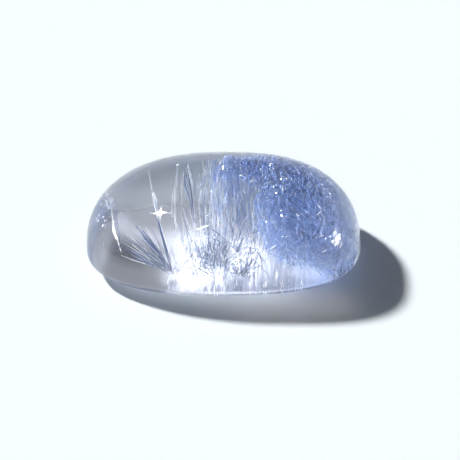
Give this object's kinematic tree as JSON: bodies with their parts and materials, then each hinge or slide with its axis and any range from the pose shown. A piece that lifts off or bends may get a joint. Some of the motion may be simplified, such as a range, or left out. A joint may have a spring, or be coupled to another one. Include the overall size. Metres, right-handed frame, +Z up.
{
  "type": "dumortierite in quartz cabochon",
  "caption": "Oval domed cabochon of clear quartz with a flat polished back, holding a fan of needles, a pale sheaf and dense blue fibres.",
  "frame": {"origin": "on the flat polished back, which the stone rests on, midway between the stone's two ends and on the line that joins them", "axes": "+X along the length, towards the blue end; -Y towards the long side that the picture is taken from; +Z up to the dome"},
  "size_m": [0.015, 0.0097, 0.0053],
  "materials": {
    "clear_quartz": "polished, see-through, faintly grey-blue",
    "pale_needles": "silky grey-blue needles with bright glints",
    "blue_fibres": "silky violet-blue fibres"
  },
  "bodies": {
    "root": {"quartz_dome": "clear_quartz", "quartz_back": "clear_quartz", "left_fan": "pale_needles", "centre_sheaf": "pale_needles", "blue_curtain": "blue_fibres", "blue_felt": "blue_fibres", "low_spray": "pale_needles", "outer_needle": "pale_needles", "upright_needle_left": "pale_needles", "upright_needle_middle": "pale_needles", "upright_needle_right": "pale_needles", "front_needle": "pale_needles"}
  },
  "joints": []
}
